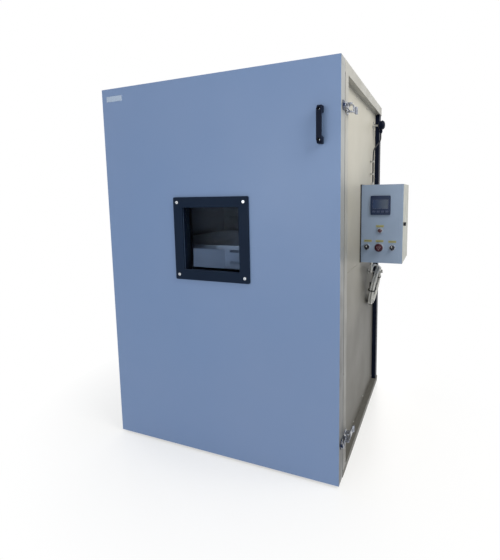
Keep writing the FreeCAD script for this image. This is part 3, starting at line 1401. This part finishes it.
def thermocouple_head():
    body = new_body("head_shell")
    half = sketch_on(body, "XY_Plane", "sensor_height")
    y = "sensor_back"
    outline(half, ((HEAD_X, y), (HEAD_X, y + " + head_radius * 0.6"), (HEAD_X + " + 5", y + " + head_radius * 0.95"),
                   (HEAD_X + " + head_length * 0.5", y + " + head_radius * 0.95"),
                   (HEAD_X + " + head_length * 0.5", y + " + head_radius"),
                   (HEAD_X + " + head_length * 0.7", y + " + head_radius"),
                   (HEAD_X + " + head_length * 0.92", y + " + head_radius * 0.75"),
                   (HEAD_X + " + head_length", y + " + head_radius * 0.4"), (HEAD_X + " + head_length", y)))
    turned = body.newObject("PartDesign::Revolution", "turned")
    turned.Profile = half
    turned.ReferenceAxis = (half, ["Edge%d" % len(half.Geometry)])
    turned.Angle = 360
    drop = "(head_radius + gland_length)"
    neck = rod("gland_radius * 0.8", drop, (HEAD_X + " + head_length * 0.4", y, "sensor_height - " + drop))
    nut = rod("gland_radius", "gland_length * 0.5",
              (HEAD_X + " + head_length * 0.4", y, "sensor_height - head_radius - gland_length * 0.7"))
    node(join([body, neck, nut]), "thermocouple_head")


def cable_glands():
    pieces = []
    for x, y, z, way, radius in ((POWER_X, POWER_Y, "box_bottom", -1, "gland_radius"),
                                 (CABLE_X, CABLE_Y, BOX_TOP, 1, "(gland_radius - 1)")):
        length = "gland_length"
        low = z + (" - gland_length" if way < 0 else " - 2 * box_sheet")
        body = rod(radius + " * 0.75", length + " + 2 * box_sheet", (x, y, low))
        nut = rod(radius, length + " * 0.4", (x, y, z + (" - gland_length * 0.4" if way < 0 else "")))
        tip = rod(radius + " * 0.9", length + " * 0.3",
                  (x, y, z + (" - gland_length * 0.9" if way < 0 else " + gland_length * 0.55")))
        cable = "power_cable" if way < 0 else "sensor_cable"
        bore = rod(cable + " + running_fit", "3 * gland_length", (x, y, z + " - 1.5 * gland_length"))
        pieces.append(carve(join([body, nut, tip]), [bore]))
    for level in ("clip_first", "clip_second"):
        low = BOX_TOP + " + " + level
        foot = block((WALL, CABLE_Y + " - 0.8 * clip_size", low),
                     (CABLE_X + " + 2 * sensor_cable", CABLE_Y + " + 0.8 * clip_size", low + " + clip_size"))
        bore = rod("sensor_cable + running_fit", "2 * clip_size", (CABLE_X, CABLE_Y, low + " - clip_size / 2"))
        pieces.append(carve(round_edges(foot, "clip_corner", along("Z")), [bore]))
    top = "hank_height + hank_radius * cos(hank_tilt) - hank_thickness - hook_radius - seat_gap"
    hook = rod("hook_radius", "hook_reach", (WALL, "hank_back", top), "X")
    lip = rod("hook_radius", "hook_lip", (WALL + " + hook_reach - hook_radius", "hank_back", top))
    rose = rod("3 * hook_radius", "hook_radius", (WALL, "hank_back", top), "X")
    pieces.append(join([hook, lip, rose]))
    node(bundle(pieces), "cable_glands")


def smooth_path(points):
    runs = [points[index + 1] - points[index] for index in range(len(points) - 1)]
    edges = []
    start = points[0]
    for index in range(1, len(points) - 1):
        before = runs[index - 1]
        after = runs[index]
        turn = before.getAngle(after)
        radius = 0.45 * min(before.Length, after.Length) / math.tan(turn / 2)
        setback = radius * math.tan(turn / 2)
        enter = points[index] - before.normalize() * setback
        leave = points[index] + after.normalize() * setback
        runs[index - 1] = points[index] - points[index - 1]
        runs[index] = points[index + 1] - points[index]
        inward = (enter - points[index]).normalize() + (leave - points[index]).normalize()
        centre = points[index] + inward.normalize() * (radius / math.cos(turn / 2))
        middle = centre - inward.normalize() * radius
        edges.append(Part.LineSegment(start, enter).toShape())
        edges.append(Part.Arc(enter, middle, leave).toShape())
        print("bend radius %.1f mm" % radius)
        start = leave
    edges.append(Part.LineSegment(start, points[-1]).toShape())
    return Part.Wire(edges)


def cable_tube(label, routes, radius):
    tubes = []
    for points in routes:
        path = smooth_path(points)
        profile = Part.Wire([Part.Circle(points[0], points[1] - points[0], radius).toShape()])
        tube = path.makePipeShell([profile], True, False)
        print("%s length %.1f mm, volume ratio %.4f" % (label, path.Length,
                                                        tube.Volume / (math.pi * radius ** 2 * path.Length)))
        tubes.append(tube)
    item = doc.addObject("Part::Feature", label)
    item.Shape = tubes[0] if len(tubes) == 1 else Part.makeCompound(tubes)
    item.Placement = Placement()
    node(item, label)


def sensor_cable():
    wall = size("cabinet_width") / 2 - size("side_inset")
    head = wall + size("sensor_neck") + size("head_length") * 0.4
    back = size("sensor_back")
    start = size("sensor_height") - size("head_radius") - size("gland_length")
    low = size("box_bottom") + size("box_height")
    cable_x = wall + 16.0
    cable_y = size("box_front") + size("box_length") - 18.0
    points = [
        Vector(head, back, start),
        Vector(head, back, start - 40.0),
        Vector(cable_x, cable_y + 20.0, start - 95.0),
        Vector(cable_x, cable_y, start - 140.0),
        Vector(cable_x, cable_y, low + 5.0),
    ]
    cable_tube("sensor_cable", [points], size("sensor_cable"))


def power_lead():
    wall = size("cabinet_width") / 2 - size("side_inset")
    start = Vector(wall + size("power_across"), size("box_front") + size("power_back"),
                   size("box_bottom") - size("gland_length"))
    tilt = math.radians(size("hank_tilt"))
    end = Vector(wall + size("hank_out") + size("hank_radius") * math.sin(tilt), size("hank_back"),
                 size("hank_height") + size("hank_radius") * math.cos(tilt))
    points = [
        start,
        start + Vector(0.0, 0.0, -30.0),
        start + Vector(-3.0, 14.0, -44.0),
        start + Vector(-9.0, 45.0, -48.0),
        start + Vector(-11.0, 95.0, -38.0),
        end + Vector(-14.0, -70.0, 30.0),
        end + Vector(-6.0, -32.0, 23.0),
        end,
    ]
    plug = Vector(wall + size("plug_across"), size("hank_back") - size("plug_forward"),
                  size("hank_height") - size("plug_drop"))
    tail = [
        plug + Vector(-21.8, 50.3, -71.4),
        plug + Vector(-18.0, 13.7, -62.0),
        plug + Vector(-10.0, 0.0, -41.7),
        plug + Vector(0.0, 0.0, -5.0),
    ]
    cable_tube("power_lead", [points, tail], size("power_cable"))


def power_coil():
    loop = doc.addObject("Part::Torus", "power_coil")
    bind(loop, "Radius1", "hank_radius")
    bind(loop, "Radius2", "hank_thickness")
    loop.Placement = Placement(Vector(), Rotation(Vector(0, 1, 0), 90))
    bind(loop, "Placement.Rotation.Angle", "90 + hank_tilt")
    place(loop, HANK_X, "hank_back", "hank_height")
    node(loop, "power_coil")


def power_plug():
    x = WALL + " + plug_across"
    y = "hank_back - plug_forward"
    low = "hank_height - plug_drop"
    body = rod("plug_radius", "plug_length", (x, y, low))
    grip = taper("plug_radius * 0.4", "plug_radius * 0.8", "plug_grip", (x, y, low + " - plug_grip"))
    pins = [rod("pin_radius", "pin_length", (x, "%s + %d * pin_pitch / 2" % (y, side), low + " + plug_length"))
            for side in (-1, 1)]
    node(join([body, grip] + pins), "power_plug")


def check_document():
    doc.recompute()
    for item in doc.Objects:
        for state in item.State:
            if state in ("Invalid", "Error"):
                raise RuntimeError("%s (%s) is %s" % (item.Name, item.Label, state))
    for item in NODES:
        shape = item.Shape
        if shape.isNull() or not shape.isValid() or not shape.Solids:
            raise RuntimeError("%s has no valid shape" % item.Label)


def build():
    base_frame()
    roof_cover()
    corner_posts()
    side_panels()
    rear_panel()
    front_frame()
    chamber_liner()
    insulation()
    shelf_runners()
    for index, label in enumerate(("shelf_lower", "shelf_middle", "shelf_upper")):
        shelf(label, index)
    air_baffle()
    fan_impeller()
    heater_elements()
    fan_motor()
    exhaust_pipe()
    damper_flap()
    hinge_frame_halves()
    hinge_door_halves()
    latch_bases()
    latch_catches()
    for place_name, level in (("upper", "latch_high"), ("lower", "latch_low")):
        latch_lever("latch_lever_" + place_name, level)
        latch_bail("latch_bail_" + place_name, level)
    cable_duct()
    door_front_skin()
    door_inner_skin()
    door_edge_frame()
    door_insulation()
    window_bezels()
    window_panes()
    window_tunnel()
    door_gasket()
    door_handle()
    box_shell()
    box_door()
    box_lock()
    box_mounting_plate()
    box_components()
    controller_body()
    controller_screen()
    for index in range(4):
        controller_key(index)
    pilot_lamp()
    switch_bezels()
    selector("selector_left", 0)
    selector("selector_right", 2)
    stop_button()
    thermocouple_stem()
    thermocouple_head()
    cable_glands()
    sensor_cable()
    power_lead()
    power_coil()
    power_plug()


build()
check_document()
os.makedirs("parts", exist_ok=True)
for item in NODES:
    item.Shape.exportStep("parts/%s.step" % item.Label)
print("%d nodes, %d solids" % (len(NODES), sum(len(item.Shape.Solids) for item in NODES)))
